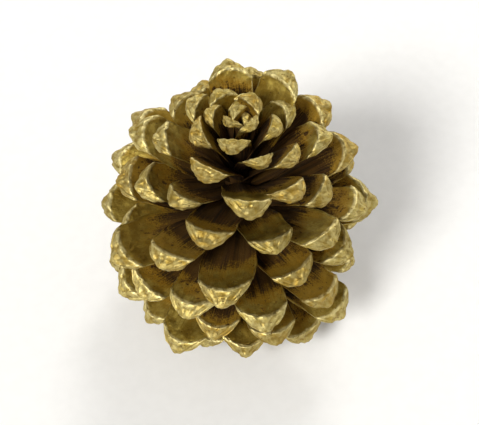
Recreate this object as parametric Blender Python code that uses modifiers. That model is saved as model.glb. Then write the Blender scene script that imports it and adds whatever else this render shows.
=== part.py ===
"""An open pine cone standing on its base: one woody axis, with every scale grown out of it.

The named sizes are in millimetres, and are turned into metres where points are placed. The cone's axis is +Z, and
z = 0 is the surface that it stands on.
"""

import math
import random

import bmesh
import bpy
import numpy as np
from mathutils import Matrix, Vector

MM = 0.001
SEED = 17

# Each scale has a growth value, from 0 beside the stalk to 1 at the cone's tip. These are the sizes at a few
# stations of growth: the stalk, the basal disc, the foot that the cone stands on, the belly, the shoulder, the crown
# and the tip.
SCALE_COUNT = 112
STATIONS = (0.00, 0.10, 0.20, 0.35, 0.61, 0.83, 1.00)
ROOT_HEIGHT_MM = (3.0, 5.5, 8.5, 14.5, 26.0, 41.5, 53.0)
PITCH_DEG = (-32.0, -26.0, -16.0, 4.0, 28.0, 54.0, 88.0)
LENGTH_MM = (5.5, 12.0, 20.5, 28.0, 29.0, 24.5, 13.0)
WIDTH_MM = (4.4, 6.4, 9.2, 11.0, 11.0, 9.4, 4.6)
LIP_MM = (2.0, 2.8, 3.9, 4.8, 4.7, 4.0, 2.2)

# A scale's own form, as shares of its width unless said otherwise.
ROOT_HALF_WIDTH = 0.20
ROOT_HALF_THICKNESS = 0.11
BLADE_HALF_THICKNESS = 0.07
EDGE_SHARPNESS = 1.6  # how thin a section gets towards its two edges
UPPER_LIP = 0.035  # how far the rim stands above the blade's upper face
CUP = 0.09
CORNER_SETBACK = 0.32
CORNER_ROUNDING = 2.2  # 2 is a parabola in plan, and more is blunter
UPPER_FACET_DROP = 0.10
LOWER_FACET_DROP = 0.19
KEEL_LEVEL = 0.38  # share of the lip's depth at which the keel crosses it
KEEL_REACH = 0.27
UMBO_RISE = 0.04
BEND_DEG = 16.0
SECTION_SHARES = (0.0, 0.45, 0.80)  # where the blade's sections stand, as shares of its length, before the rim
SECTION_POINTS = 8

# The axis inside the cone, as (height, radius) from its tip down to the broken stalk.
AXIS_PROFILE_MM = ((61.0, 0.0), (55.0, 1.6), (41.0, 3.2), (27.0, 4.4), (14.0, 5.2), (5.0, 4.8), (-1.0, 4.2))
AXIS_SIDES = 12
ROOT_SINK = 0.45  # share of the axis's radius at which a scale starts

# Differences from scale to scale.
AZIMUTH_SPREAD_DEG = 5.0
PITCH_SPREAD_DEG = 5.5
ROLL_SPREAD_DEG = 13.0
SIZE_SPREAD = 0.10
POINT_SPREAD = 0.32  # how much more or less the corners lie back, which makes a scale pointed or blunt
LIP_SPREAD = 0.14

# One side of a cone dries first, and its scales open a little wider.
LOPSIDED_DEG = 3.5
LOPSIDED_TOWARDS_DEG = 215.0
LOPSIDED_FROM = 0.35  # the growth from which the difference is full, so that the foot stays even

GOLDEN_ANGLE = math.pi * (3.0 - math.sqrt(5.0))
FOOT_CUTTER_MM = 80.0


def clear_scene():
    """Removes whatever the scene holds at the start."""
    for obj in list(bpy.data.objects):
        bpy.data.objects.remove(obj, do_unlink=True)


def collection_named(name):
    """A new collection, linked to the scene."""
    made = bpy.data.collections.new(name)
    bpy.context.scene.collection.children.link(made)
    return made


def at_growth(values, growth):
    """A size at this growth, read between the stations."""
    return float(np.interp(growth, STATIONS, values))


def axis_radius_mm(height):
    """The axis's radius at a height."""
    heights, radii = zip(*reversed(AXIS_PROFILE_MM))
    return float(np.interp(height, heights, radii))


def plan_scales():
    """The place, lean and size of every scale, from the stalk to the tip."""
    draw = random.Random(SEED)
    draw_form = random.Random(SEED + 1)
    plans = []
    for index in range(SCALE_COUNT):
        growth = index / (SCALE_COUNT - 1)
        turn = draw.uniform(-AZIMUTH_SPREAD_DEG, AZIMUTH_SPREAD_DEG)
        lean = draw.uniform(-PITCH_SPREAD_DEG, PITCH_SPREAD_DEG)
        roll = draw.uniform(-ROLL_SPREAD_DEG, ROLL_SPREAD_DEG)
        size = 1.0 + draw.uniform(-SIZE_SPREAD, SIZE_SPREAD)
        azimuth = index * GOLDEN_ANGLE + math.radians(turn)
        opened = LOPSIDED_DEG * math.cos(azimuth - math.radians(LOPSIDED_TOWARDS_DEG))
        opened *= min(growth / LOPSIDED_FROM, 1.0)
        point = draw_form.uniform(-POINT_SPREAD, POINT_SPREAD)
        thick = 1.0 + draw_form.uniform(-LIP_SPREAD, LIP_SPREAD)
        plans.append(
            {
                "azimuth": azimuth,
                "height": at_growth(ROOT_HEIGHT_MM, growth),
                "pitch": math.radians(at_growth(PITCH_DEG, growth) + lean - opened),
                "roll": math.radians(roll),
                "length": at_growth(LENGTH_MM, growth) * size,
                "width": at_growth(WIDTH_MM, growth) * size,
                "lip": at_growth(LIP_MM, growth) * size * thick,
                "setback": CORNER_SETBACK * (1.0 + point),
                "rounding": CORNER_ROUNDING * (1.0 - 0.5 * point),
            }
        )
    return plans


def cupped(plan, across):
    """How far the scale's middle surface is raised, for its cup, at this distance across."""
    return CUP * 4.0 * across * across / plan["width"]


def face_along(plan, across, up):
    """How far out the scale's outer face reaches: rounded in plan, and highest along a keel that crosses it."""
    width, depth = plan["width"], plan["lip"]
    side = 2.0 * across / width
    from_keel = (up - cupped(plan, across)) + KEEL_LEVEL * depth * (1.0 - side * side)
    drop = UPPER_FACET_DROP if from_keel > 0.0 else LOWER_FACET_DROP
    setback = plan["setback"] * abs(side) ** plan["rounding"]
    return plan["length"] - width * (setback + drop * abs(from_keel) / (0.5 * depth))


def section_point(half_width, upper, lower, angle):
    """A point round a lens-shaped section, thick in the middle and thin at its two edges: across and up."""
    side = math.cos(angle)
    rise = abs(math.sin(angle)) ** EDGE_SHARPNESS
    across = half_width * side
    up = upper * rise if math.sin(angle) > 0.0 else -lower * rise
    return across, up


def blade_point(plan, share, angle):
    """A point of the blade's surface at a share of the scale's length: along, across and up."""
    width = plan["width"]
    spread = math.sin(0.5 * math.pi * share / SECTION_SHARES[-1])
    half_width = width * (ROOT_HALF_WIDTH + (0.5 - ROOT_HALF_WIDTH) * spread)
    half_thickness = width * (ROOT_HALF_THICKNESS + (BLADE_HALF_THICKNESS - ROOT_HALF_THICKNESS) * spread)
    across, up = section_point(half_width, half_thickness, half_thickness, angle)
    setback = plan["setback"] * abs(math.cos(angle)) ** plan["rounding"]
    along = share * (plan["length"] - width * (setback + UPPER_FACET_DROP))
    return along, across, up + spread * cupped(plan, across)


def rim_point(plan, angle):
    """A point of the thick rim round the outer face: along, across and up."""
    upper = (BLADE_HALF_THICKNESS + UPPER_LIP) * plan["width"]
    across, up = section_point(0.5 * plan["width"], upper, plan["lip"] - upper, angle)
    up += cupped(plan, across)
    return face_along(plan, across, up), across, up


def keel_point(plan, side):
    """A point of the keel across the outer face, with the umbo in its middle: along, across and up."""
    across = side * KEEL_REACH * plan["width"]
    up = cupped(plan, across) - KEEL_LEVEL * plan["lip"] * (1.0 - (2.0 * across / plan["width"]) ** 2)
    rise = 0.0 if side else UMBO_RISE * plan["width"]
    return face_along(plan, across, up) + rise, across, up


def on_arc(plan, point):
    """A point of the scale moved onto its middle line, which arches outwards, in the scale's upright plane."""
    along, across, up = point
    bend = math.radians(BEND_DEG)
    first = plan["pitch"] + 0.5 * bend
    here = first - bend * along / plan["length"]
    radius = plan["length"] / bend
    outwards = radius * (math.sin(first) - math.sin(here))
    upwards = radius * (math.cos(here) - math.cos(first))
    up += math.sin(plan["roll"]) * across
    return Vector((outwards - up * math.sin(here), across, upwards + up * math.cos(here)))


def scale_matrix(plan):
    """Where the scale's root stands, sunk in the axis, and which way it faces."""
    start = ROOT_SINK * axis_radius_mm(plan["height"])
    turned = Matrix.Rotation(plan["azimuth"], 4, "Z")
    return turned @ Matrix.Translation(Vector((start, 0.0, plan["height"])))


def scale_object(name, plan, collection):
    """One scale: a loft of few-sided sections from its root to the rim, closed by a face with a keel and umbo."""
    angles = [2.0 * math.pi * k / SECTION_POINTS for k in range(SECTION_POINTS)]
    sections = [[blade_point(plan, share, angle) for angle in angles] for share in SECTION_SHARES]
    sections.append([rim_point(plan, angle) for angle in angles])
    place = scale_matrix(plan)
    shape = bmesh.new()

    def vertex(point):
        return shape.verts.new(MM * (place @ on_arc(plan, point)))

    rings = [[vertex(point) for point in section] for section in sections]
    for inner, outer in zip(rings, rings[1:]):
        for k in range(SECTION_POINTS):
            after = (k + 1) % SECTION_POINTS
            shape.faces.new((inner[k], inner[after], outer[after], outer[k]))
    rim = rings[-1]
    half = SECTION_POINTS // 2
    keel = [rim[0]] + [vertex(keel_point(plan, side)) for side in (1, 0, -1)] + [rim[half]]
    for k in range(half):
        shape.faces.new(dict.fromkeys((rim[k], rim[k + 1], keel[k + 1], keel[k])))
        shape.faces.new(dict.fromkeys((rim[-k], keel[k], keel[k + 1], rim[-k - 1])))
    shape.faces.new(list(reversed(rings[0])))
    bmesh.ops.triangulate(shape, faces=shape.faces)
    bmesh.ops.recalc_face_normals(shape, faces=shape.faces)
    mesh = bpy.data.meshes.new(name)
    shape.to_mesh(mesh)
    shape.free()
    made = bpy.data.objects.new(name, mesh)
    collection.objects.link(made)
    return made


def axis_object(name, collection):
    """The turned woody axis, with the broken stalk as its lower end."""
    mesh = bpy.data.meshes.new(name)
    points = [(radius * MM, 0.0, height * MM) for height, radius in AXIS_PROFILE_MM]
    points.append((0.0, 0.0, AXIS_PROFILE_MM[-1][0] * MM))
    mesh.from_pydata(points, [(k, k + 1) for k in range(len(points) - 1)], [])
    made = bpy.data.objects.new(name, mesh)
    collection.objects.link(made)
    turn = made.modifiers.new("turn", "SCREW")
    turn.steps = AXIS_SIDES
    turn.render_steps = AXIS_SIDES
    turn.use_merge_vertices = True
    turn.merge_threshold = 0.00001
    return made


def foot_cutter(collection):
    """A block below z = 0, which flattens the spots that the cone stands on."""
    bpy.ops.mesh.primitive_cube_add(size=FOOT_CUTTER_MM * MM, location=(0.0, 0.0, -0.5 * FOOT_CUTTER_MM * MM))
    made = bpy.context.object
    made.name = "foot_cutter"
    for holder in list(made.users_collection):
        holder.objects.unlink(made)
    collection.objects.link(made)
    made.hide_render = True
    made.display_type = "WIRE"
    return made


def apply_modifiers(obj):
    """Keeps the evaluated mesh as the object's own."""
    graph = bpy.context.evaluated_depsgraph_get()
    mesh = bpy.data.meshes.new_from_object(obj.evaluated_get(graph))
    obj.modifiers.clear()
    obj.data = mesh


def island_from(start):
    """Every face that is joined to this one through edges."""
    found = {start}
    waiting = [start]
    while waiting:
        for edge in waiting.pop().edges:
            fresh = set(edge.link_faces) - found
            found |= fresh
            waiting.extend(fresh)
    return found


def keep_outer_skin(mesh):
    """Keeps the largest closed skin alone, so that a pocket which the scales seal between them is filled with wood."""
    shape = bmesh.new()
    shape.from_mesh(mesh)
    skins = []
    seen = set()
    for face in shape.faces:
        if face not in seen:
            skins.append(island_from(face))
            seen |= skins[-1]
    outer = max(skins, key=len)
    spare = [face for face in shape.faces if face not in outer]
    bmesh.ops.delete(shape, geom=spare, context="FACES")
    shape.to_mesh(mesh)
    shape.free()


def gold_paint():
    """Gold spray paint over brown wood."""
    paint = bpy.data.materials.new("gold_paint")
    paint.use_nodes = True
    shader = paint.node_tree.nodes["Principled BSDF"]
    shader.inputs["Base Color"].default_value = (0.52, 0.36, 0.09, 1.0)
    shader.inputs["Metallic"].default_value = 0.8
    shader.inputs["Roughness"].default_value = 0.42
    return paint


def main():
    clear_scene()
    cone_parts = collection_named("pine_cone_parts")
    growing = collection_named("scales")
    cutters = collection_named("cutters")
    cone = axis_object("pine_cone", cone_parts)
    for number, plan in enumerate(plan_scales()):
        scale_object(f"scale_{number:03d}", plan, growing)
    join = cone.modifiers.new("scales", "BOOLEAN")
    join.operation = "UNION"
    join.operand_type = "COLLECTION"
    join.collection = growing
    flatten = cone.modifiers.new("foot", "BOOLEAN")
    flatten.operation = "DIFFERENCE"
    flatten.object = foot_cutter(cutters)
    apply_modifiers(cone)
    keep_outer_skin(cone.data)
    for scale in list(growing.objects):
        bpy.data.objects.remove(scale, do_unlink=True)
    cone.data.materials.clear()
    cone.data.materials.append(gold_paint())


main()
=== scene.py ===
"""The looks of an open pine cone that is sprayed gold: its fine scales, its axis and the stalk's broken end.

Lengths are in millimetres until a mesh is made. The places, sizes and order of random draws of the scales
are those of the solid that they stand for. The cone's axis is +Z, and it stands on z = 0.
"""
import math
import random

import bpy
import numpy as np
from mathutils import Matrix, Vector, noise
from mathutils.bvhtree import BVHTree


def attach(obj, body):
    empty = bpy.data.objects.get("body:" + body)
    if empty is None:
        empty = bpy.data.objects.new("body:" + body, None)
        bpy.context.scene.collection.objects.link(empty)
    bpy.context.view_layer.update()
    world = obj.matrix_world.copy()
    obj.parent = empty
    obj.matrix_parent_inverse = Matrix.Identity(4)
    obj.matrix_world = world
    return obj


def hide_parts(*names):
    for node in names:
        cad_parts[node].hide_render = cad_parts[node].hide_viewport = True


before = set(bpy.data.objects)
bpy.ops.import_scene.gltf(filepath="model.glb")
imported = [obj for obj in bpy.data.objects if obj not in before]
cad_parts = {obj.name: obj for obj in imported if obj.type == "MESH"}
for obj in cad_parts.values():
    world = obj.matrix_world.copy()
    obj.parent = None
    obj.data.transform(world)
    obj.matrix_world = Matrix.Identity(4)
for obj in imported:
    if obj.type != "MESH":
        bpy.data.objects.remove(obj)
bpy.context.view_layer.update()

MM = 0.001
NODE = "pine_cone"

# The solid's own values: growth runs from 0 beside the stalk to 1 at the cone's tip.
SEED = 17
SCALE_COUNT = 112
STATIONS = (0.00, 0.10, 0.20, 0.35, 0.61, 0.83, 1.00)
ROOT_HEIGHT_MM = (3.0, 5.5, 8.5, 14.5, 26.0, 41.5, 53.0)
PITCH_DEG = (-32.0, -26.0, -16.0, 4.0, 28.0, 54.0, 88.0)
LENGTH_MM = (5.5, 12.0, 20.5, 28.0, 29.0, 24.5, 13.0)
WIDTH_MM = (4.4, 6.4, 9.2, 11.0, 11.0, 9.4, 4.6)
LIP_MM = (2.0, 2.8, 3.9, 4.8, 4.7, 4.0, 2.2)
ROOT_HALF_WIDTH = 0.20
ROOT_HALF_THICKNESS = 0.11
BLADE_HALF_THICKNESS = 0.07
EDGE_SHARPNESS = 1.6
UPPER_LIP = 0.035
CUP = 0.09
CORNER_SETBACK = 0.32
CORNER_ROUNDING = 2.2
UPPER_FACET_DROP = 0.10
LOWER_FACET_DROP = 0.19
KEEL_LEVEL = 0.38
UMBO_RISE = 0.04
BEND_DEG = 16.0
BLADE_END = 0.80  # share of the length at which a scale starts to thicken into its lip
AXIS_PROFILE_MM = ((61.0, 0.0), (55.0, 1.6), (41.0, 3.2), (27.0, 4.4), (14.0, 5.2), (5.0, 4.8), (-1.0, 4.2))
ROOT_SINK = 0.45
AZIMUTH_SPREAD_DEG = 5.0
PITCH_SPREAD_DEG = 5.5
ROLL_SPREAD_DEG = 13.0
SIZE_SPREAD = 0.10
POINT_SPREAD = 0.32
LIP_SPREAD = 0.14
LOPSIDED_DEG = 3.5
LOPSIDED_TOWARDS_DEG = 215.0
LOPSIDED_FROM = 0.35
GOLDEN_ANGLE = math.pi * (3.0 - math.sqrt(5.0))

# The fine scales: points round a section, sections from root to rim, and rings from the rim in to the umbo.
AROUND = 72
SHARES = np.concatenate([np.linspace(0.0, 0.76, 14), np.linspace(0.80, 0.94, 7), np.linspace(0.955, 1.0, 5)])
RADII = np.concatenate([[0.975, 0.94], np.linspace(0.89, 0.11, 13), [0.04]])
KEEL_SOFTNESS = 0.03  # share of the lip's depth over which the keel is rounded
UPPER_LIP_CURVE, LOWER_LIP_CURVE = 2, 1.5  # how late a blade thickens into its lip
RIM_ROUND = 0.034  # how far the rim's corner is worn back, as a share of the width
RIM_ROUND_FROM = 0.8  # share of the lip at which that starts on the blade's side
RIM_ROUND_REACH = 0.045  # share of the outer face's radius over which it fades on the face's side
RIM_INSET = 0.05  # how much of a section's thickness goes with it
RIM_INSET_FROM = 0.85  # share of the lip at which that starts

# The umbo: half its size, across as a share of the width and up as a share of the lip. Its boss, the groove
# round that and the prickle on it lie at shares of this size, and rise or sink by shares of the width.
UMBO_REACH = (0.17, 0.30)
BOSS_SLOPE = (0.55, 1.0)
BOSS_RISE = 0.75 * UMBO_RISE
GROOVE_AT, GROOVE_SPREAD, GROOVE_SINK = 1.15, 0.20, 0.018
PRICKLE_SPREAD, PRICKLE_RISE = 0.30, 0.015

# Relief on the fine scales, in millimetres on the widest of them. Noises have a size, a depth and a seed.
WIDEST_MM = 11.0
WING_DEPTH = 0.30  # the two prints that the seeds' wings leave on a scale's upper face
MID_RIDGE = 0.16
RIB_DEPTH = 0.08
WRINKLE_DEPTH = 0.09
LUMP_MM, LUMP_DEPTH, LUMP_SEED = 2.4, 0.16, 11.3
CREASE_MM, CREASE_DEPTH, CREASE_SEED = 1.5, 0.17, 37.1
GRAIN_MM, GRAIN_DEPTH, GRAIN_SEED = 0.8, 0.10, 71.9
CHIP_MM, CHIP_DEPTH, CHIP_SEED = 2.0, 0.45, 53.7  # how far the rim is notched
CREASE_LEVEL = 0.25  # folds stand up where the noise is nearer 0 than this, and sink elsewhere
CHIP_LEVEL = 0.05  # the noise under which a notch starts
BLADE_GRAIN = 0.35  # how much of the tip's grain the blade has
WORN_DEPTH = 0.16  # how far the fine surface lies inside the solid's, so that its bumps stay within it
EDGE_WAVE = 0.06  # share of a half width
EDGE_WAVES = (9.0, 8.0)  # radians of wave along the right edge and the left one

# Where that relief lies: in shares of the length, of the half width, or of the outer face's radius.
FACING_UP = (0.10, 0.35)  # sines round a section from which a point counts as on its upper side
BLADE_FADE = (0.90, 0.98)
TIP_START = (0.80, 0.95)
PRINT_START, PRINT_END = (0.10, 0.22), (0.66, 0.78)
PRINT_MIDDLE, PRINT_SPREAD = 0.46, 0.24
RIDGE_SPREAD, RIDGE_END = 0.12, (0.70, 0.90)
RIB_TURNS, RIB_SWAY, RIB_SWAYS = 21.0, 1.6, 5.0  # radians over half a width, and how they sway lengthways
WRINKLES, FINE_WRINKLES, FINE_WRINKLE_SHARE = 11.0, 19.0, 0.7  # how many run out from the umbo
WRINKLE_START, WRINKLE_TWIST = (0.25, 0.6), 2.0
WRINKLES_FROM = 0.97
RIM_SPREAD = (0.05, 0.10)  # along the blade and over the face

# The paint's face is the tip without its upper side, which fades in over these sines round a section and
# ends at this share of the length. The paint's rim is the upper one, with thicker paint and a painted
# highlight on it, and fades in over such sines too.
FACE_FADE, UPPER_SIDE_END = (-0.1, 0.25), 0.985
RIM_FADE = (-0.3, 0.4)

# How deep a place counts as lying, for the paint and for the painted shade in the hollows: plain surface,
# and how much each kind of relief changes it.
PLAIN_HOLLOW = 0.45
WRINKLE_HOLLOW, GRAIN_HOLLOW, CREASE_HOLLOW, GROOVE_HOLLOW = 0.30, 0.6, 0.9, 0.35

# The gold was sprayed in passes from the sides: turn and height of each in degrees, and how much it gave.
SPRAY_PASSES = (
    (165.0, 22.0, 1.0),
    (285.0, -8.0, 0.8),
    (40.0, 5.0, 0.9),
    (225.0, 62.0, 0.45),
    (120.0, -35.0, 0.7),
)
SPRAY_SPREAD_DEG = 26.0
SPRAY_EVERYWHERE = 0.16
SPRAY_DIRECTIONS = 110
RAY_EVERY = (3, 4)  # rings, and points of a ring, from one place that rays are cast from to the next
RAY_START_MM = 0.6  # in front of the surface, so that a ray doesn't meet the scale that it starts on
RAY_GRAZING = 0.1  # cosine below which spray slides off

# Groups of scales, each one piece, by the growth at which it ends.
GROUPS = (("foot_scales", 0.26), ("belly_scales", 0.50), ("shoulder_scales", 0.75), ("crown_scales", 1.01))


def at_growth(values, growth):
    """A size at this growth, read between the stations."""
    return float(np.interp(growth, STATIONS, values))


def axis_radius_mm(height):
    """The axis's radius at a height, or at each of several."""
    heights, radii = zip(*reversed(AXIS_PROFILE_MM))
    return np.interp(height, heights, radii)


def plan_scales():
    """The place, lean and size of every scale from stalk to tip, in the solid's own order of draws."""
    draw = random.Random(SEED)
    draw_form = random.Random(SEED + 1)
    plans = []
    for index in range(SCALE_COUNT):
        growth = index / (SCALE_COUNT - 1)
        turn = draw.uniform(-AZIMUTH_SPREAD_DEG, AZIMUTH_SPREAD_DEG)
        lean = draw.uniform(-PITCH_SPREAD_DEG, PITCH_SPREAD_DEG)
        roll = draw.uniform(-ROLL_SPREAD_DEG, ROLL_SPREAD_DEG)
        size = 1.0 + draw.uniform(-SIZE_SPREAD, SIZE_SPREAD)
        azimuth = index * GOLDEN_ANGLE + math.radians(turn)
        opened = LOPSIDED_DEG * math.cos(azimuth - math.radians(LOPSIDED_TOWARDS_DEG))
        opened *= min(growth / LOPSIDED_FROM, 1.0)
        point = draw_form.uniform(-POINT_SPREAD, POINT_SPREAD)
        thick = 1.0 + draw_form.uniform(-LIP_SPREAD, LIP_SPREAD)
        plans.append(
            {
                "index": index,
                "growth": growth,
                "azimuth": azimuth,
                "height": at_growth(ROOT_HEIGHT_MM, growth),
                "pitch": math.radians(at_growth(PITCH_DEG, growth) + lean - opened),
                "roll": math.radians(roll),
                "length": at_growth(LENGTH_MM, growth) * size,
                "width": at_growth(WIDTH_MM, growth) * size,
                "lip": at_growth(LIP_MM, growth) * size * thick,
                "setback": CORNER_SETBACK * (1.0 + point),
                "rounding": CORNER_ROUNDING * (1.0 - 0.5 * point),
            }
        )
    return plans


def turns_round(count):
    """This many angles evenly round a circle."""
    return np.linspace(0.0, 2.0 * np.pi, count, endpoint=False)


def smooth(values, low, high):
    """0 below low, 1 above high, and an even ease between them."""
    share = np.clip((values - low) / (high - low), 0.0, 1.0)
    return share * share * (3.0 - 2.0 * share)


def noise_at(points, size, seed):
    """Soft noise from about -1 to 1 at each point, with features of this size in the points' own unit."""
    flat = np.reshape(points, (-1, 3)) / size + seed
    found = [noise.noise(Vector(point)) for point in flat]
    return np.reshape(found, np.shape(points)[:-1])


def cupped(plan, across):
    """How far the scale's middle surface is raised, for its cup, at this distance across."""
    return CUP * 4.0 * across * across / plan["width"]


def keel_up(plan, across):
    """The height of the keel across the outer face."""
    side = 2.0 * across / plan["width"]
    return cupped(plan, across) - KEEL_LEVEL * plan["lip"] * (1.0 - side * side)


def face_along(plan, across, up):
    """How far out the scale's outer face reaches, with the keel across it a little rounded."""
    width, depth = plan["width"], plan["lip"]
    side = 2.0 * across / width
    from_keel = up - keel_up(plan, across)
    soft = KEEL_SOFTNESS * depth
    away = np.sqrt(from_keel**2 + soft**2) - soft
    drop = np.where(from_keel > 0.0, UPPER_FACET_DROP, LOWER_FACET_DROP)
    setback = plan["setback"] * np.abs(side) ** plan["rounding"]
    return plan["length"] - width * (setback + drop * away / (0.5 * depth))


def section(half_width, upper, lower, angles):
    """Points round a lens-shaped section, thick in the middle and thin at its two edges: across and up."""
    rise = np.abs(np.sin(angles)) ** EDGE_SHARPNESS
    return half_width * np.cos(angles), np.where(np.sin(angles) > 0.0, upper * rise, -lower * rise)


def rim(plan, angles):
    """The rim round the outer face: across and up."""
    upper = (BLADE_HALF_THICKNESS + UPPER_LIP) * plan["width"]
    across, up = section(0.5 * plan["width"], upper, plan["lip"] - upper, angles)
    return across, up + cupped(plan, across)


def blade_rings(plan, shares, angles, wave):
    """Sections from the root to the rim: along, across and up, each with a row for each share."""
    width = plan["width"]
    lip = np.clip((shares - BLADE_END) / (1.0 - BLADE_END), 0.0, 1.0)
    spread = np.sin(0.5 * np.pi * np.minimum(shares / BLADE_END, 1.0))
    half_width = width * (ROOT_HALF_WIDTH + (0.5 - ROOT_HALF_WIDTH) * spread)
    half_width = half_width * (1.0 + wave * spread * (1.0 - lip))
    blade = width * (ROOT_HALF_THICKNESS + (BLADE_HALF_THICKNESS - ROOT_HALF_THICKNESS) * spread)
    rim_upper = (BLADE_HALF_THICKNESS + UPPER_LIP) * width
    upper = blade + (rim_upper - blade) * lip**UPPER_LIP_CURVE
    lower = blade + (plan["lip"] - rim_upper - blade) * lip**LOWER_LIP_CURVE
    across, up = section(half_width, upper, lower, angles)
    up = up * (1.0 - RIM_INSET * smooth(lip, RIM_INSET_FROM, 1.0)) + spread * cupped(plan, across)
    setback = plan["setback"] * np.abs(np.cos(angles)) ** plan["rounding"]
    reach = plan["length"] - width * (setback + UPPER_FACET_DROP)
    rim_across, rim_up = rim(plan, angles)
    worn = RIM_ROUND * width * smooth(lip, RIM_ROUND_FROM, 1.0)
    rim_along = face_along(plan, rim_across, rim_up) - worn
    along = np.where(lip > 0.0, BLADE_END * reach * (1.0 - lip) + rim_along * lip, shares * reach)
    return along, across, up


def face_rings(plan, radii, angles):
    """Rings over the outer face, from inside the rim to the umbo's middle: along, across and up."""
    width, depth = plan["width"], plan["lip"]
    rim_across, rim_up = rim(plan, angles)
    across = radii * rim_across
    from_keel = radii * (rim_up - keel_up(plan, rim_across))
    up = keel_up(plan, across) + from_keel
    along = face_along(plan, across, up)
    boss, groove, prickle = umbo_parts(plan, across, from_keel)
    umbo = BOSS_RISE * boss + PRICKLE_RISE * prickle - GROOVE_SINK * groove
    worn = RIM_ROUND * np.exp((radii - 1.0) / RIM_ROUND_REACH)
    return along + width * (umbo - worn), across, up


def umbo_parts(plan, across, from_keel):
    """How much a point of the outer face belongs to the umbo's boss, the groove round it and its prickle."""
    half_across, half_up = UMBO_REACH[0] * plan["width"], UMBO_REACH[1] * plan["lip"]
    reach = np.hypot(across / half_across, from_keel / half_up)
    boss = 1.0 - smooth(reach, *BOSS_SLOPE)
    groove = np.exp(-(((reach - GROOVE_AT) / GROOVE_SPREAD) ** 2))
    prickle = np.exp(-((reach / PRICKLE_SPREAD) ** 2))
    return boss, groove, prickle


def umbo_groove(plan, radii, angles):
    """The groove round the umbo over the outer face's rings, for thinner paint and painted shade in it."""
    rim_across, rim_up = rim(plan, angles)
    return umbo_parts(plan, radii * rim_across, radii * (rim_up - keel_up(plan, rim_across)))[1]


def on_arc(plan, along, across, up):
    """Points moved onto the scale's arched middle line, and round to where the scale grows."""
    bend = math.radians(BEND_DEG)
    first = plan["pitch"] + 0.5 * bend
    here = first - bend * along / plan["length"]
    radius = plan["length"] / bend
    up = up + math.sin(plan["roll"]) * across
    start = ROOT_SINK * axis_radius_mm(plan["height"])
    outwards = start + radius * (math.sin(first) - np.sin(here)) - up * np.sin(here)
    upwards = plan["height"] + radius * (np.cos(here) - math.cos(first)) + up * np.cos(here)
    turn, lift = math.cos(plan["azimuth"]), math.sin(plan["azimuth"])
    return np.stack([outwards * turn - across * lift, outwards * lift + across * turn, upwards], axis=-1)


def grid_normals(points):
    """Unit normals of a grid of rings that close on themselves, pointing out of the scale."""
    round_it = np.roll(points, -1, axis=1) - np.roll(points, 1, axis=1)
    down_it = np.gradient(points, axis=0)
    normals = np.cross(round_it, down_it)
    return normals / np.maximum(np.linalg.norm(normals, axis=-1, keepdims=True), 1e-9)


def stacked(on_blade, on_face):
    """Values over a scale's whole grid: its blade's sections, and then its outer face's rings."""
    blade = np.broadcast_to(on_blade, (len(SHARES), AROUND))
    return np.concatenate([blade, np.broadcast_to(on_face, (len(RADII), AROUND))])


def relief_parts(share, radius, angles, phases):
    """How much each point belongs to the prints, ridge, ribs and wrinkles of a scale, and to its tip."""
    side, rise = np.broadcast_to(np.cos(angles), share.shape), np.broadcast_to(np.sin(angles), share.shape)
    upper, lower = smooth(rise, *FACING_UP), smooth(-rise, *FACING_UP)
    on_blade = stacked(1.0, 0.0) * (1.0 - smooth(share, *BLADE_FADE))
    print_length = smooth(share, *PRINT_START) * (1.0 - smooth(share, *PRINT_END))
    prints = print_length * np.exp(-(((np.abs(side) - PRINT_MIDDLE) / PRINT_SPREAD) ** 4)) * upper * on_blade
    ridge = np.exp(-((side / RIDGE_SPREAD) ** 2)) * upper * on_blade * (1.0 - smooth(share, *RIDGE_END))
    sway = RIB_SWAY * np.sin(RIB_SWAYS * share + phases[2])
    ribs = np.sin(side * RIB_TURNS + sway + phases[3]) * lower * on_blade
    fine_wrinkles = np.sin(FINE_WRINKLES * angles + phases[5] + WRINKLE_TWIST * radius)
    wrinkles = np.sin(WRINKLES * angles + phases[4]) + FINE_WRINKLE_SHARE * fine_wrinkles
    wrinkles = wrinkles * (1.0 - on_blade) * smooth(radius, *WRINKLE_START) * (share > WRINKLES_FROM)
    tip = 1.0 - on_blade * (1.0 - smooth(share, *TIP_START))
    return prints, ridge, ribs, wrinkles, tip


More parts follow.
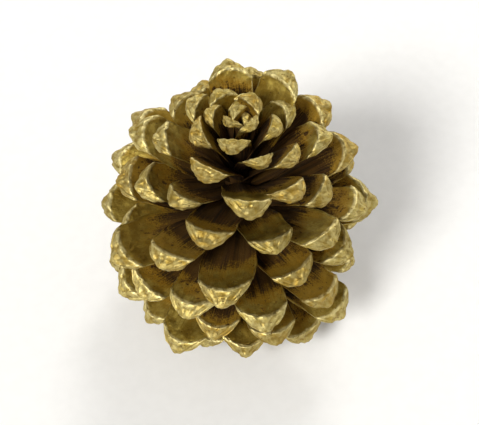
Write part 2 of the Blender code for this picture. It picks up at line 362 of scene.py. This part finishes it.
def scale_points(plan):
    """One fine scale's grid of points, and for each point what the material reads."""
    angles = turns_round(AROUND)[None, :]
    shares, radii = SHARES[:, None], RADII[:, None]
    draw = np.random.default_rng(SEED * 1000 + plan["index"])
    phases = draw.uniform(0.0, 2.0 * np.pi, 8)
    right = np.sin(EDGE_WAVES[0] * shares + phases[0])
    left = np.sin(EDGE_WAVES[1] * shares + phases[1])
    wave = EDGE_WAVE * np.where(np.cos(angles) > 0.0, right, left) * np.cos(angles) ** 2
    blade = on_arc(plan, *blade_rings(plan, shares, angles, wave))
    face = on_arc(plan, *face_rings(plan, radii, angles))
    points = np.concatenate([blade, face])
    normals = grid_normals(points)
    outwards = on_arc(plan, np.array([plan["length"], plan["length"] - 1.0]), np.zeros(2), np.zeros(2))
    outwards = outwards[0] - outwards[1]

    share, radius = stacked(shares, 1.0), stacked(1.0, radii)
    prints, ridge, ribs, wrinkles, tip = relief_parts(share, radius, angles, phases)
    groove = stacked(0.0, umbo_groove(plan, radii, angles))
    lumps = noise_at(points, LUMP_MM, LUMP_SEED + plan["index"])
    grain = noise_at(points, GRAIN_MM, GRAIN_SEED + plan["index"])
    creases = CREASE_LEVEL - np.abs(noise_at(points, CREASE_MM, CREASE_SEED + plan["index"]))
    height = LUMP_DEPTH * lumps + (BLADE_GRAIN + (1.0 - BLADE_GRAIN) * tip) * GRAIN_DEPTH * grain - WORN_DEPTH
    height = height - WING_DEPTH * prints + MID_RIDGE * ridge + RIB_DEPTH * ribs
    size = plan["width"] / WIDEST_MM
    height = size * (height + WRINKLE_DEPTH * wrinkles + CREASE_DEPTH * creases * tip)
    at_rim = np.exp(-(((share - 1.0) / RIM_SPREAD[0]) ** 2) - (((radius - 1.0) / RIM_SPREAD[1]) ** 2))
    chips = np.minimum(noise_at(points, CHIP_MM, CHIP_SEED + plan["index"]) - CHIP_LEVEL, 0.0)
    points = points + normals * height[..., None] + outwards * (size * CHIP_DEPTH * chips * at_rim)[..., None]
    points[..., 2] = np.maximum(points[..., 2], 0.0)

    rise = np.broadcast_to(np.sin(angles), share.shape)
    hollow = PLAIN_HOLLOW - WRINKLE_HOLLOW * wrinkles - GRAIN_HOLLOW * grain - CREASE_HOLLOW * creases
    facts = {
        "share": share,
        "side": np.broadcast_to(np.cos(angles), share.shape),
        "tip": tip,
        "face": tip * (1.0 - smooth(rise, *FACE_FADE) * (share < UPPER_SIDE_END)),
        "rim": at_rim * smooth(rise, *RIM_FADE),
        "print": prints,
        "hollow": np.clip(hollow + GROOVE_HOLLOW * groove, 0.0, 1.0),
        "tone": np.full(share.shape, draw.uniform(0.0, 1.0)),
        "luck": np.full(share.shape, draw.uniform(-1.0, 1.0)),
    }
    return points, normals, facts


def spray_directions():
    """Directions spread evenly over a sphere, and how much spray comes from each."""
    rank = np.arange(SPRAY_DIRECTIONS) + 0.5
    polar, turn = np.arccos(1.0 - 2.0 * rank / SPRAY_DIRECTIONS), GOLDEN_ANGLE * rank
    level = np.sin(polar)
    directions = np.stack([np.cos(turn) * level, np.sin(turn) * level, np.cos(polar)], axis=-1)
    amounts = np.full(SPRAY_DIRECTIONS, SPRAY_EVERYWHERE)
    for turn_deg, height_deg, amount in SPRAY_PASSES:
        turn, lift = math.radians(turn_deg), math.radians(height_deg)
        level = math.cos(lift)
        aim = np.array([math.cos(turn) * level, math.sin(turn) * level, math.sin(lift)])
        away = np.degrees(np.arccos(np.clip(directions @ aim, -1.0, 1.0)))
        amounts += amount * np.exp(-0.5 * (away / SPRAY_SPREAD_DEG) ** 2)
    return directions, amounts / amounts.mean()


def exposed(points, normals, tree, directions, amounts):
    """How much spray reaches each point, where 1 is what an open face gets: cast from some, and filled in."""
    rows = sorted(set(range(0, points.shape[0], RAY_EVERY[0])) | {points.shape[0] - 1})
    columns = range(0, AROUND, RAY_EVERY[1])
    found = np.zeros((len(rows), len(columns)))
    for i, row in enumerate(rows):
        for j, column in enumerate(columns):
            normal = normals[row, column]
            start = Vector(points[row, column] + RAY_START_MM * normal) * MM
            facing = directions @ normal
            seen = facing > RAY_GRAZING
            free = 0.0
            for direction, weight in zip(directions[seen], (facing * amounts)[seen]):
                if tree.ray_cast(start, Vector(direction))[0] is None:
                    free += weight
            found[i, j] = free / facing[seen].sum()
    every = np.arange(points.shape[0])
    closed = np.concatenate([found, found[:, :1]], axis=1)
    down = np.stack([np.interp(every, rows, closed[:, j]) for j in range(closed.shape[1])], axis=1)
    stops = np.append(columns, AROUND)
    return np.stack([np.interp(np.arange(AROUND), stops, line) for line in down])


def grid_faces(rings, around, first):
    """Quads between rings, as point numbers from first, and a fan at each end round a point of its own."""
    k = np.arange(around)
    after = (k + 1) % around
    quads = []
    for ring in range(rings - 1):
        low, high = first + ring * around, first + (ring + 1) * around
        quads += np.stack([low + k, low + after, high + after, high + k], axis=1).tolist()
    start, end = first + rings * around, first + rings * around + 1
    last = first + (rings - 1) * around
    fans = [(start, first + b, first + a) for a, b in zip(k.tolist(), after.tolist())]
    fans += [(end, last + a, last + b) for a, b in zip(k.tolist(), after.tolist())]
    return quads + fans


def smooth_object(name, points, faces):
    """An object with smooth shading, from points in metres."""
    mesh = bpy.data.meshes.new(name)
    mesh.from_pydata(points.tolist(), [], faces)
    mesh.polygons.foreach_set("use_smooth", np.ones(len(mesh.polygons), bool))
    mesh.update()
    made = bpy.data.objects.new(name, mesh)
    bpy.context.scene.collection.objects.link(made)
    return made


def mesh_of_grids(name, grids):
    """One object from closed grids, each (points, facts), whose two ends close on a point in the middle."""
    places, faces, columns = [], [], {}
    first = 0
    for points, facts in grids:
        rings, around = points.shape[:2]
        ends = np.stack([points[0].mean(axis=0), points[-1].mean(axis=0)])
        places.append(np.concatenate([points.reshape(-1, 3), ends]))
        faces += grid_faces(rings, around, first)
        for key, values in facts.items():
            ends = [values[0].mean(), values[-1].mean()]
            columns.setdefault(key, []).append(np.concatenate([values.reshape(-1), ends]))
        first += rings * around + 2
    made = smooth_object(name, np.concatenate(places) * MM, faces)
    for key, values in columns.items():
        attribute = made.data.attributes.new(key, "FLOAT", "POINT")
        attribute.data.foreach_set("value", np.concatenate(values))
    return made


def cad_tree():
    """The solid's surface, for finding what the spray reaches."""
    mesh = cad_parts[NODE].data
    places = [vertex.co.copy() for vertex in mesh.vertices]
    return BVHTree.FromPolygons(places, [tuple(polygon.vertices) for polygon in mesh.polygons])


def make_scales(tree):
    """The pieces that hold the scales, by where they grow."""
    directions, amounts = spray_directions()
    grids = {name: [] for name, _ in GROUPS}
    for plan in plan_scales():
        points, normals, facts = scale_points(plan)
        facts["spray"] = exposed(points, normals, tree, directions, amounts)
        group = next(name for name, end in GROUPS if plan["growth"] < end)
        grids[group].append((points, facts))
    return [mesh_of_grids(name, grids[name]) for name, _ in GROUPS]


class Shading:
    """Short ways to add and join a material's nodes."""

    def __init__(self, name):
        self.material = bpy.data.materials.new(name)
        self.material.use_nodes = True
        self.tree = self.material.node_tree
        self.shader = self.tree.nodes["Principled BSDF"]

    def link(self, value, socket):
        """Joins a socket to another, or sets its value."""
        if isinstance(value, bpy.types.NodeSocket):
            self.tree.links.new(value, socket)
        else:
            socket.default_value = value

    def node(self, kind, inputs=None, **settings):
        """A node with these inputs, by name or number, and settings."""
        made = self.tree.nodes.new(kind)
        for key, value in settings.items():
            setattr(made, key, value)
        for key, value in (inputs or {}).items():
            self.link(value, made.inputs[key])
        return made

    def fact(self, name):
        """A number that the mesh holds at each point."""
        return self.node("ShaderNodeAttribute", attribute_name=name).outputs["Fac"]

    def maths(self, operation, *values):
        """The result of one sum on these values."""
        made = self.node("ShaderNodeMath", operation=operation)
        for place, value in enumerate(values):
            self.link(value, made.inputs[place])
        return made.outputs[0]

    def plus(self, first, second):
        """The two added."""
        return self.maths("ADD", first, second)

    def times(self, first, second):
        """The two multiplied."""
        return self.maths("MULTIPLY", first, second)

    def swing(self, value, amount):
        """A noise or strand moved to swing round 0, and made this strong."""
        return self.times(self.maths("SUBTRACT", value, NOISE_MIDDLE), amount)

    def surface(self, inputs):
        """Gives the shader these inputs, by name."""
        for key, value in inputs.items():
            self.link(value, self.shader.inputs[key])

    def mapped(self, value, low, high, to_low=0.0, to_high=1.0):
        """value moved from one range to another with an even ease."""
        inputs = {"Value": value, "From Min": low, "From Max": high, "To Min": to_low, "To Max": to_high}
        return self.node("ShaderNodeMapRange", inputs, interpolation_type="SMOOTHSTEP").outputs["Result"]

    def mixed(self, share, first, second):
        """Two colours mixed."""
        made = self.node("ShaderNodeMix", data_type="RGBA")
        self.link(share, made.inputs[0])
        self.link(first, made.inputs[6])
        self.link(second, made.inputs[7])
        return made.outputs[2]

    def noise(self, places, size_mm, detail=3.0, roughness=0.55):
        """Noise with features of this size at these places."""
        inputs = {"Vector": places, "Scale": 1.0 / (size_mm * MM), "Detail": detail, "Roughness": roughness}
        return self.node("ShaderNodeTexNoise", inputs).outputs["Fac"]

    def bump(self, height, depth_mm, normal=None, strength=1.0):
        """A normal raised by this height, where 1 stands depth_mm proud."""
        inputs = {"Height": height, "Distance": depth_mm * MM, "Strength": strength}
        if normal is not None:
            inputs["Normal"] = normal
        return self.node("ShaderNodeBump", inputs).outputs["Normal"]


NOISE_MIDDLE = 0.5

# Colours of the paint and of the wood: linear red, green and blue, and how solid.
PALE_GOLD = (0.64, 0.545, 0.225, 1.0)
# The rim gold is a painted highlight for the upper rims.
RIM_HIGHLIGHT_GOLD = (0.84, 0.73, 0.35, 1.0)
MID_GOLD = (0.53, 0.402, 0.090, 1.0)
DEEP_GOLD = (0.26, 0.166, 0.022, 1.0)
THIN_GOLD = (0.41, 0.215, 0.014, 1.0)
AMBER_GOLD = (0.50, 0.285, 0.028, 1.0)
BROWN_WOOD = (0.070, 0.030, 0.0035, 1.0)
DARK_WOOD = (0.018, 0.0085, 0.0010, 1.0)
PALE_WOOD = (0.15, 0.075, 0.012, 1.0)
END_WOOD = (0.31, 0.200, 0.062, 1.0)
PIT_BROWN = (0.13, 0.070, 0.010, 1.0)
GOLD_METALLIC = 0.88

# Noises of the paint: size in millimetres, detail and, where it isn't the usual one, roughness.
PATCHES = (2.6, 3.0)
MOTTLE = (1.7, 3.0)
BREAKS = (1.5, 4.0, 0.65)
CRUST = (1.25, 4.0, 0.46)
PITS = (0.75, 2.0, 0.5)
DUST = (0.50, 2.0, 0.65)
SPECKS = (0.32, 2.0, 0.6)
FLAKE_MM = 0.26

# The wood's fibres: strands over half a scale's width, their shift from scale to scale, and their noise.
STRANDS, STRAND_SHIFT = 9.0, 40.0
FIBRE_SCALE, FIBRE_DETAIL = 2.2, 4.0
FIBRE_TONES = (0.35, 0.65)
PRINT_SHARE = 0.45  # how much paler the wing prints are

# How far the paint reaches: what each thing adds, with ranges as from low, from high, to low, to high.
PATCH_REACH = 0.62
SPECK_REACH = 0.70
FACE_REACH = 0.34
OUTER_REACH = (0.45, 0.96, -0.20, 0.32)
LUCK_REACH = 0.30
STREAK_REACH = (0.0, 1.0, 0.60, 0.0)  # over the blade, and none on the tip
RIM_REACH = 0.45
HOLLOW_FROM, HOLLOW_LOSS = (0.62, 1.0), 0.42
COAT = (0.18, 0.54)  # the reach at which the paint starts, and at which it is closed

# What changes the paint's colour, in the same kind of ranges.
PATCH_TONES = (0.35, 0.68)
DARK_FIBRES = (0.38, 0.58, 1.0, 0.0)
FIBRE_STREAKS = (0.0, 1.0, 0.55, 0.0)
AMBER_TONES = (0.62, 0.95, 0.0, 0.75)
THICK_COAT = (0.34, 0.80)
PALE_TONES = (0.30, 0.64, 0.10, 0.95)
DUST_TONES, DUST_SHARE = (0.40, 0.60), 0.26
# Painted shade in the hollows: the depths over which it comes in, and how dark it gets.
HOLLOW_SHADE_TONES, HOLLOW_SHADE_SHARE = (0.50, 0.90), 0.50
SCALE_TONES = (0.0, 1.0, 0.0, 0.40)
# Painted highlight along the upper rims, broken up by noise.
RIM_HIGHLIGHT_TONES = (0.40, 0.95)
RIM_HIGHLIGHT_BREAKS = (0.34, 0.60, 0.05, 0.85)
PIT_TONES, PIT_SHARE = (0.27, 0.36, 1.0, 0.0), 0.75

# The paint's gloss, and its relief in millimetres.
METAL_FROM = (0.35, 0.90, 0.45, GOLD_METALLIC)
FLAKE_ROUGHNESS, PATCH_ROUGHNESS, PAINT_ROUGHNESS, BARE_ROUGHNESS = 0.14, 0.34, 0.24, 0.40
PAINT_SPECULAR = 0.2
CRUST_SHARES = (0.0, 1.0, 0.5, 1.0)  # from the blade to the tip
FIBRE_DEPTH, FIBRE_STRENGTH = 0.10, 0.6
CRUST_DEPTH = 0.24
PIT_DEPTH = 0.06
SPECK_DEPTH = 0.03
FLAKE_DEPTH = 0.008


def wood_fibres(made):
    """Strands along a scale, other ones on each."""
    strand, shift = made.times(made.fact("side"), STRANDS), made.times(made.fact("tone"), STRAND_SHIFT)
    place = made.node("ShaderNodeCombineXYZ", {"X": strand, "Y": made.fact("share"), "Z": shift})
    inputs = {"Vector": place.outputs[0], "Scale": FIBRE_SCALE, "Detail": FIBRE_DETAIL}
    return made.node("ShaderNodeTexNoise", inputs).outputs["Fac"]


def paint_reach(made, fibres, patches, specks):
    """How far the paint reached: far on faces and rims, less in hollows and towards the axis, in streaks."""
    reach = made.plus(made.fact("spray"), made.swing(patches, PATCH_REACH))
    reach = made.plus(reach, made.swing(specks, SPECK_REACH))
    reach = made.plus(reach, made.times(made.fact("face"), FACE_REACH))
    luck = made.times(made.fact("luck"), LUCK_REACH)
    streaks = made.swing(fibres, made.mapped(made.fact("tip"), *STREAK_REACH))
    outer = made.plus(made.plus(made.mapped(made.fact("share"), *OUTER_REACH), luck), streaks)
    reach = made.plus(made.plus(reach, outer), made.times(made.fact("rim"), RIM_REACH))
    lost = made.times(made.mapped(made.fact("hollow"), *HOLLOW_FROM), HOLLOW_LOSS)
    return made.maths("SUBTRACT", reach, lost)


def paint_colour(made, places, fibres, patches, pits, reach):
    """Gold: pale on tips, amber where thin, painted highlight on upper rims, painted shade in hollows."""
    tip, tone, hollow = made.fact("tip"), made.fact("tone"), made.fact("hollow")
    gold = made.mixed(made.mapped(patches, *PATCH_TONES), DEEP_GOLD, MID_GOLD)
    streaks = made.times(made.mapped(fibres, *DARK_FIBRES), made.mapped(tip, *FIBRE_STREAKS))
    gold = made.mixed(streaks, gold, DEEP_GOLD)
    gold = made.mixed(made.mapped(tone, *AMBER_TONES), gold, AMBER_GOLD)
    gold = made.mixed(made.mapped(reach, *THICK_COAT), THIN_GOLD, gold)
    pale = made.mapped(made.noise(places, *MOTTLE), *PALE_TONES)
    gold = made.mixed(made.times(made.fact("face"), pale), gold, PALE_GOLD)
    dust = made.mapped(made.noise(places, *DUST), *DUST_TONES)
    gold = made.mixed(made.times(dust, DUST_SHARE), gold, DEEP_GOLD)
    # Painted shade: the hollows darkened towards deep gold.
    gold = made.mixed(made.times(made.mapped(hollow, *HOLLOW_SHADE_TONES), HOLLOW_SHADE_SHARE), gold, DEEP_GOLD)
    gold = made.mixed(made.mapped(tone, *SCALE_TONES), gold, DEEP_GOLD)
    # Painted highlight: rim gold along the upper rims, in broken patches.
    broken = made.mapped(made.noise(places, *BREAKS), *RIM_HIGHLIGHT_BREAKS)
    edge = made.times(made.mapped(made.fact("rim"), *RIM_HIGHLIGHT_TONES), broken)
    gold = made.mixed(edge, gold, RIM_HIGHLIGHT_GOLD)
    return made.mixed(made.times(pits, PIT_SHARE), gold, PIT_BROWN)


def painted_scale():
    """Gold spray over brown scales: thick and pale on the tips, thin and speckled where it hardly reaches."""
    made = Shading("gold_paint_on_scales")
    places = made.node("ShaderNodeTexCoord").outputs["Object"]
    fibres = wood_fibres(made)
    patches, specks = made.noise(places, *PATCHES), made.noise(places, *SPECKS)
    pits = made.mapped(made.noise(places, *PITS), *PIT_TONES)
    flakes = made.node("ShaderNodeTexVoronoi", {"Vector": places, "Scale": 1.0 / (FLAKE_MM * MM)})
    flake = made.node("ShaderNodeSeparateColor", {"Color": flakes.outputs["Color"]}).outputs[0]
    reach = paint_reach(made, fibres, patches, specks)
    coat = made.mapped(reach, *COAT)

    wood = made.mixed(made.mapped(fibres, *FIBRE_TONES), DARK_WOOD, BROWN_WOOD)
    wood = made.mixed(made.times(made.fact("print"), PRINT_SHARE), wood, PALE_WOOD)
    gold = paint_colour(made, places, fibres, patches, pits, reach)
    gloss = made.plus(made.times(flake, FLAKE_ROUGHNESS), made.times(patches, PATCH_ROUGHNESS))
    bare = made.times(made.maths("SUBTRACT", 1.0, coat), BARE_ROUGHNESS)
    rough = made.plus(made.plus(gloss, PAINT_ROUGHNESS), bare)

    crust = made.times(made.noise(places, *CRUST), made.mapped(made.fact("tip"), *CRUST_SHARES))
    relief = made.bump(fibres, FIBRE_DEPTH, strength=FIBRE_STRENGTH)
    relief = made.bump(crust, CRUST_DEPTH, relief)
    relief = made.bump(pits, -PIT_DEPTH, relief)
    relief = made.bump(specks, SPECK_DEPTH, relief)
    made.surface(
        {
            "Base Color": made.mixed(coat, wood, gold),
            "Metallic": made.times(coat, made.mapped(reach, *METAL_FROM)),
            "Roughness": rough,
            "Specular IOR Level": PAINT_SPECULAR,
            "Normal": made.bump(flake, FLAKE_DEPTH, relief),
        }
    )
    return made.material


AXIS_AROUND = 72
AXIS_RINGS = 70
STALK_TOP_MM = 3.4
AXIS_ROUGHNESS = 0.045  # share of the radius
LENGTHWAYS = (1.0, 1.0, 0.35)  # how the axis's furrows are drawn out
FURROW_MM, FURROW_SEED = 0.9, 5.0
FLECK_MM, FLECK_SEED, FLECK_SHARE = 0.5, 9.0, 0.6
AXIS_STRANDS = 3.0
# What the paint reads on the scales and the axis has none of.
SCALE_FACTS = ("tip", "face", "rim", "print", "spray", "luck")

# The stalk's end: shares of the radius from its middle out to the bark, and heights up the bark.
END_RINGS = np.concatenate([np.linspace(0.03, 0.93, 26), [0.96, 0.985, 1.0]])
BARK_HEIGHTS_MM = np.linspace(0.25, STALK_TOP_MM, 9)
BARK_MM = 0.12
BARK_ROUGHNESS, BARK_LENGTHWAYS = 0.035, (1.0, 1.0, 0.3)
BARK_NOISE_MM, BARK_SEED, BARK_SINK = 0.8, 25.0, 0.6
BREAK_DEPTH = 0.9  # how deep the break's hollows are, in millimetres
BREAK_EDGE = (0.86, 0.99)
BREAK_LEVEL, BREAK_SWING = 0.35, 0.5
TEAR_MM, TEAR_SEED = 1.3, 21.0
FINE_TEAR_MM, FINE_TEAR_SEED, FINE_TEAR_SHARE = 0.5, 23.0, 0.5
WOOD_RAYS, WOOD_RAY_SHARE = 26.0, 0.35


def make_axis():
    """The woody axis between the scales, furrowed lengthways."""
    heights = np.linspace(0.5 * STALK_TOP_MM, AXIS_PROFILE_MM[0][0], AXIS_RINGS)[:, None]
    turns = turns_round(AXIS_AROUND)[None, :]
    radius = axis_radius_mm(heights) + 0.0 * turns
    points = np.stack([radius * np.cos(turns), radius * np.sin(turns), heights + 0.0 * turns], axis=-1)
    furrows = noise_at(points * LENGTHWAYS, FURROW_MM, FURROW_SEED)
    rough = furrows + FLECK_SHARE * noise_at(points, FLECK_MM, FLECK_SEED)
    points[..., :2] *= (1.0 + AXIS_ROUGHNESS * (rough - 1.0))[..., None]
    ones = np.ones(radius.shape)
    facts = {key: 0.0 * ones for key in SCALE_FACTS}
    facts["share"] = heights / AXIS_PROFILE_MM[0][0] * ones
    facts["side"] = np.sin(AXIS_STRANDS * turns) * ones
    # The furrows count as hollows, which take less paint and painted shade.
    facts["hollow"] = np.clip(0.5 - 0.5 * rough, 0.0, 1.0)
    facts["tone"] = 0.5 * ones
    return mesh_of_grids("axis", [(points, facts)])


def make_stalk_end():
    """The stump where the cone broke off its twig: torn end grain inside a ring of bark."""
    turns = turns_round(AXIS_AROUND)[None, :]
    ring = np.concatenate([END_RINGS, np.ones(len(BARK_HEIGHTS_MM))])[:, None] + 0.0 * turns
    height = np.concatenate([np.zeros(len(END_RINGS)), BARK_HEIGHTS_MM])[:, None] + 0.0 * turns
    radius = ring * (axis_radius_mm(height) + BARK_MM)
    flat = np.stack([radius * np.cos(turns), radius * np.sin(turns), height], axis=-1)
    torn = noise_at(flat, TEAR_MM, TEAR_SEED) + FINE_TEAR_SHARE * noise_at(flat, FINE_TEAR_MM, FINE_TEAR_SEED)
    torn = torn + WOOD_RAY_SHARE * np.sin(WOOD_RAYS * turns) * ring
    torn = np.clip(BREAK_LEVEL + BREAK_SWING * torn, 0.0, 1.0)
    inside = (height < 0.5 * BARK_HEIGHTS_MM[0]) * (1.0 - smooth(ring, *BREAK_EDGE))
    furrows = noise_at(flat * BARK_LENGTHWAYS, BARK_NOISE_MM, BARK_SEED) - BARK_SINK
    bark = 1.0 + BARK_ROUGHNESS * furrows * (ring > BREAK_EDGE[1])
    points = np.stack([flat[..., 0] * bark, flat[..., 1] * bark, height], axis=-1)
    points[..., 2] += BREAK_DEPTH * inside * torn
    # The break's hollows take less paint and painted shade.
    facts = {"ring": ring, "bark": 1.0 - inside, "hollow": torn * inside}
    return mesh_of_grids("stalk_end", [(points, facts)])


# The stalk's wood and paint, in the same kind of ranges as the scales'.
GROWTH_RINGS, RING_TONES, RING_DEPTH = 30.0, (-0.6, 0.8, 0.40, 1.0), 0.05
END_FIBRES, END_FIBRE_TONES, END_FIBRE_DEPTH = (0.35, 4.0, 0.6), (0.36, 0.56), 0.16
# Painted shade: how far the break's hollows are darkened.
END_HOLLOW_SHADE_SHARE = 0.6
PITH_TONES = (0.0, 0.20, 0.9, 0.0)
CAUGHT, CAUGHT_ON_BARK, CAUGHT_LOSS = (1.2, 3.0), 0.55, 0.75
END_COAT = (0.30, 0.62)
END_ROUGHNESS = (0.0, 1.0, 0.85, 0.42)
END_SPECULAR = 0.1


def broken_stalk():
    """Torn wood with growth rings, painted shade in its hollows, and gold caught on high fibres and bark."""
    made = Shading("gold_paint_on_stalk")
    places = made.node("ShaderNodeTexCoord").outputs["Object"]
    ring, bark, hollow = made.fact("ring"), made.fact("bark"), made.fact("hollow")
    rings = made.maths("SINE", made.times(ring, GROWTH_RINGS))
    fibres = made.noise(places, *END_FIBRES)
    wood = made.mixed(made.mapped(rings, *RING_TONES), BROWN_WOOD, END_WOOD)
    wood = made.mixed(made.mapped(fibres, *END_FIBRE_TONES), DARK_WOOD, wood)
    # Painted shade: the break's hollows darkened towards dark wood.
    wood = made.mixed(made.times(hollow, END_HOLLOW_SHADE_SHARE), wood, DARK_WOOD)
    wood = made.mixed(made.mapped(ring, *PITH_TONES), wood, DARK_WOOD)
    caught = made.plus(made.times(bark, CAUGHT_ON_BARK), made.noise(places, *CAUGHT))
    caught = made.maths("SUBTRACT", caught, made.times(hollow, CAUGHT_LOSS))
    coat = made.mapped(caught, *END_COAT)
    gold = made.mixed(made.mapped(fibres, *FIBRE_TONES), DEEP_GOLD, MID_GOLD)
    made.surface(
        {
            "Base Color": made.mixed(coat, wood, gold),
            "Metallic": made.mapped(coat, 0.0, 1.0, 0.0, GOLD_METALLIC),
            "Roughness": made.mapped(coat, *END_ROUGHNESS),
            "Specular IOR Level": END_SPECULAR,
            "Normal": made.bump(rings, RING_DEPTH, made.bump(fibres, END_FIBRE_DEPTH)),
        }
    )
    return made.material


FLOOR_RADII = (0.05, 0.2, 0.6, 1.1)
FLOOR_RADIUS = 1.6
FLOOR_AROUND = 96
WALL_ROUND = 0.7
WALL_STEPS = 13
WALL_HEIGHT = 1.6
FLOOR_DROP = 0.0001  # below the cone's flat spots, so that the two surfaces never coincide
FLOOR_COLOURS = ((0.90, 0.895, 0.885, 1.0), (0.92, 0.915, 0.905, 1.0))
CLOUD_MM, CLOUD_TONES = 3.0, (0.3, 0.7)
FLOOR_ROUGHNESS = 0.8

SURROUND_COLOUR = (1.0, 0.99, 0.975, 1.0)
SURROUND_STRENGTH = 0.26
# Each lamp: towards it, its size in degrees, its strength and its colour.
LAMPS = (
    ("key", (-0.48, -0.55, 0.72), 20.0, 2.5, (1.0, 0.99, 0.96)),
    ("fill", (0.70, -0.60, 0.30), 25.0, 0.50, (0.98, 0.99, 1.0)),
    ("back", (0.20, 0.75, 0.70), 16.0, 0.9, (1.0, 0.99, 0.97)),
)


def make_floor():
    """A round pale floor whose edge sweeps up into a wall, as in a photographer's cove."""
    sweep = np.linspace(0.0, 0.5 * np.pi, WALL_STEPS)
    radii = np.concatenate([FLOOR_RADII, FLOOR_RADIUS + WALL_ROUND * np.sin(sweep)])
    heights = np.concatenate([np.zeros(len(FLOOR_RADII)), WALL_ROUND * (1.0 - np.cos(sweep))])
    radii, heights = np.append(radii, radii[-1])[:, None], np.append(heights, WALL_HEIGHT)[:, None]
    turns = turns_round(FLOOR_AROUND)
    rings = np.stack([radii * np.cos(turns), radii * np.sin(turns), heights + 0.0 * turns], axis=-1)
    points = rings.reshape(-1, 3) - (0.0, 0.0, FLOOR_DROP)
    k = np.arange(FLOOR_AROUND)
    after = (k + 1) % FLOOR_AROUND
    faces = [k.tolist()]
    for ring in range(len(radii) - 1):
        low, high = ring * FLOOR_AROUND, (ring + 1) * FLOOR_AROUND
        faces += np.stack([low + k, high + k, high + after, low + after], axis=1).tolist()
    return smooth_object("floor", points, faces)


def pale_paper():
    """Matt pale paper with the faintest cloud in it."""
    made = Shading("pale_floor")
    places = made.node("ShaderNodeTexCoord").outputs["Object"]
    cloud = made.mapped(made.noise(places, CLOUD_MM), *CLOUD_TONES)
    made.surface({"Base Color": made.mixed(cloud, *FLOOR_COLOURS), "Roughness": FLOOR_ROUGHNESS})
    return made.material


def studio():
    """A pale cove and soft lights."""
    world = bpy.data.worlds.new("surround")
    world.use_nodes = True
    back = world.node_tree.nodes["Background"]
    back.inputs["Color"].default_value = SURROUND_COLOUR
    back.inputs["Strength"].default_value = SURROUND_STRENGTH
    bpy.context.scene.world = world
    bpy.context.scene.view_settings.view_transform = "Standard"
    floor = make_floor()
    floor.data.materials.append(pale_paper())

    for name, towards, angle, strength, colour in LAMPS:
        lamp = bpy.data.lights.new(name, "SUN")
        lamp.angle = math.radians(angle)
        lamp.energy = strength
        lamp.color = colour
        stand = bpy.data.objects.new(name, lamp)
        stand.rotation_euler = Vector(towards).to_track_quat("Z", "Y").to_euler()
        bpy.context.scene.collection.objects.link(stand)


CAMERA_ELEVATION_DEG = 58.0
LENS_MM = 80.0
SENSOR_MM = 36.0
CAMERA_AWAY = 0.245
CAMERA_NEAREST = 0.01
CAMERA_TARGET = (0.0, 0.0, 0.0275)


def make_camera():
    """The camera, which looks down on the rosette of scales."""
    camera = bpy.data.cameras.new("camera")
    camera.lens = LENS_MM
    camera.sensor_width = SENSOR_MM
    camera.clip_start = CAMERA_NEAREST
    stand = bpy.data.objects.new("camera", camera)
    lift = math.radians(CAMERA_ELEVATION_DEG)
    back = Vector((0.0, -math.cos(lift), math.sin(lift)))
    stand.location = Vector(CAMERA_TARGET) + CAMERA_AWAY * back
    stand.rotation_euler = back.to_track_quat("Z", "Y").to_euler()
    bpy.context.scene.collection.objects.link(stand)
    bpy.context.scene.camera = stand


def main():
    """Sets up the studio and the camera, and dresses the solid."""
    make_camera()
    studio()
    skin = painted_scale()
    dressed = [(piece, skin) for piece in [*make_scales(cad_tree()), make_axis()]]
    dressed.append((make_stalk_end(), broken_stalk()))
    for piece, material in dressed:
        piece.data.materials.append(material)
        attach(piece, "root")
        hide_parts(NODE)


main()
